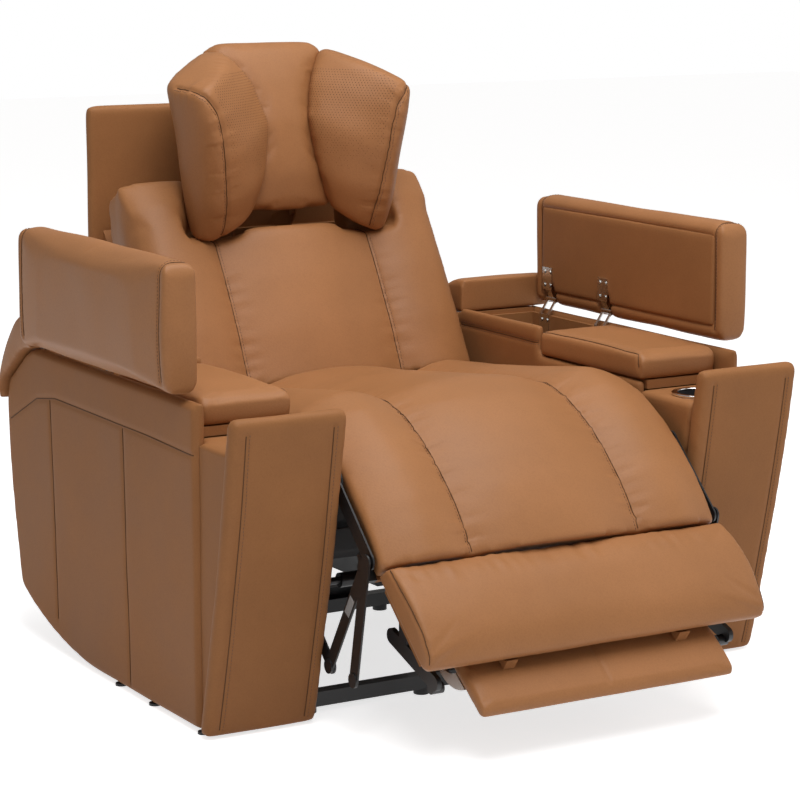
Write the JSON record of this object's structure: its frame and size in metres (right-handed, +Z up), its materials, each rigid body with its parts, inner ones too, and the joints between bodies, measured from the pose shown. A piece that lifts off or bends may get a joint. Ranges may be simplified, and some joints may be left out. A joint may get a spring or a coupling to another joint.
{
  "type": "cinema recliner seat",
  "caption": "Powered home cinema recliner in brown leather, with lidded arm storage, cup holders, a winged tilting headrest and a raised footrest with a lower flap.",
  "frame": {"origin": "on the floor, under the middle of the whole seat's outline box", "axes": "+Z up, -Y towards the sitter's feet, +X to the right in a front view"},
  "size_m": [1.1128, 1.2428, 1.022],
  "materials": {
    "leather": "caramel brown leather with a soft sheen, and stitching in the same brown",
    "frame_wood": "plain plywood",
    "black_steel": "semi-gloss black paint",
    "bright_steel": "bright plated steel",
    "hinge_steel": "bright zinc plate",
    "cup_chrome": "polished chrome",
    "black_plastic": "fine matte black",
    "button_plastic": "dark grey gloss, unmarked"
  },
  "bodies": {
    "base": {"side_panel_left": "leather", "side_panel_right": "leather", "inner_panel_left": "leather", "inner_panel_right": "leather", "front_board_left": "leather", "front_board_right": "leather", "arm_wedge_left": "leather", "arm_wedge_right": "leather", "cup_liners": "black_plastic", "cup_rings": "cup_chrome", "deck_pad_left": "leather", "deck_pad_right": "leather", "storage_bin_left": "leather", "storage_bin_right": "leather", "rear_block_left": "leather", "rear_block_right": "leather", "arm_frames": "frame_wood", "bin_hinges_left": "hinge_steel", "bin_hinges_right": "hinge_steel", "floor_rails": "black_steel", "track_rails": "black_steel", "glides": "black_plastic", "power_supply": "black_plastic", "control_panel": "black_plastic"},
    "lid_left": {"lid_pad_left": "leather", "lid_board_left": "leather", "lid_hinges_left": "hinge_steel"},
    "lid_right": {"lid_pad_right": "leather", "lid_board_right": "leather", "lid_hinges_right": "hinge_steel"},
    "seat": {"side_plates": "black_steel", "seat_rails": "black_steel", "seat_deck": "frame_wood", "seat_cushion": "leather", "foot_motor": "black_plastic", "back_motor": "black_plastic"},
    "footrest": {"footrest_arms": "black_steel", "footrest_board": "frame_wood", "chaise_pad": "leather", "roll_pad": "leather"},
    "flap": {"flap_pad": "leather", "flap_links": "bright_steel"},
    "lower_links": {"lower_links": "black_steel"},
    "upright_links": {"upright_links": "black_steel"},
    "foot_rod": {"foot_rod": "bright_steel"},
    "back_rod": {"back_rod": "bright_steel"},
    "back": {"back_frame": "frame_wood", "back_brackets": "black_steel", "back_centre": "leather", "back_bolster_left": "leather", "back_bolster_right": "leather", "back_shell": "leather"},
    "headrest": {"headrest_bracket": "black_steel", "headrest_centre": "leather", "headrest_wing_left": "leather", "headrest_wing_right": "leather"},
    "button_1": {"button_1": "button_plastic"},
    "button_2": {"button_2": "button_plastic"},
    "button_3": {"button_3": "button_plastic"},
    "button_4": {"button_4": "button_plastic"}
  },
  "joints": [
    {"name": "lid_left", "type": "hinge", "parent": "base", "child": "lid_left", "pos_m": [-0.507, 0, 0.541], "axis": [0, 1, 0], "range_deg": [0, 90]},
    {"name": "lid_right", "type": "hinge", "parent": "base", "child": "lid_right", "pos_m": [0.507, 0, 0.541], "axis": [0, -1, 0], "range_deg": [0, 90]},
    {"name": "seat_slide", "type": "slide", "parent": "base", "child": "seat", "axis": [0, -1, 0], "range_m": [0, 0.0901]},
    {"name": "footrest_lift", "type": "hinge", "parent": "seat", "child": "footrest", "pos_m": [0, -0.32, 0.395], "axis": [-1, 0, 0], "range_deg": [-52, 20]},
    {"name": "flap_slide", "type": "slide", "parent": "footrest", "child": "flap", "axis": [0, -0.8, -0.6], "range_m": [-0.0751, 0.029]},
    {"name": "lower_link", "type": "hinge", "parent": "seat", "child": "lower_links", "pos_m": [0, -0.205, 0.205], "axis": [-1, 0, 0], "range_deg": [-52, 20]},
    {"name": "upright_link", "type": "hinge", "parent": "footrest", "child": "upright_links", "pos_m": [0, -0.4279, 0.2908], "axis": [-1, 0, 0], "range_deg": [-20, 52]},
    {"name": "foot_rod", "type": "slide", "parent": "seat", "child": "foot_rod", "axis": [0, -1, 0], "range_m": [-0.0643, 0.0248]},
    {"name": "back_recline", "type": "hinge", "parent": "seat", "child": "back", "pos_m": [0, 0.33, 0.33], "axis": [-1, 0, 0], "range_deg": [0, 35]},
    {"name": "back_rod", "type": "slide", "parent": "seat", "child": "back_rod", "axis": [0, -1, 0], "range_m": [0, 0.0575]},
    {"name": "headrest_tilt", "type": "hinge", "parent": "back", "child": "headrest", "pos_m": [0, 0.515, 0.715], "axis": [-1, 0, 0], "range_deg": [0, 15]},
    {"name": "button_1", "type": "slide", "parent": "base", "child": "button_1", "axis": [-1, 0, 0], "range_m": [0, 0.0012], "stiffness_N_per_m": 400},
    {"name": "button_2", "type": "slide", "parent": "base", "child": "button_2", "axis": [-1, 0, 0], "range_m": [0, 0.0012], "stiffness_N_per_m": 400},
    {"name": "button_3", "type": "slide", "parent": "base", "child": "button_3", "axis": [-1, 0, 0], "range_m": [0, 0.0012], "stiffness_N_per_m": 400},
    {"name": "button_4", "type": "slide", "parent": "base", "child": "button_4", "axis": [-1, 0, 0], "range_m": [0, 0.0012], "stiffness_N_per_m": 400}
  ],
  "couplings": [
    {"joint": "seat_slide", "follows": "back_recline", "m_per_rad": 0.1473},
    {"joint": "back_rod", "follows": "back_recline", "m_per_rad": 0.0939},
    {"joint": "flap_slide", "follows": "footrest_lift", "m_per_rad": 0.0826},
    {"joint": "lower_link", "follows": "footrest_lift", "ratio": 1},
    {"joint": "upright_link", "follows": "footrest_lift", "ratio": -1},
    {"joint": "foot_rod", "follows": "footrest_lift", "m_per_rad": 0.0707}
  ]
}
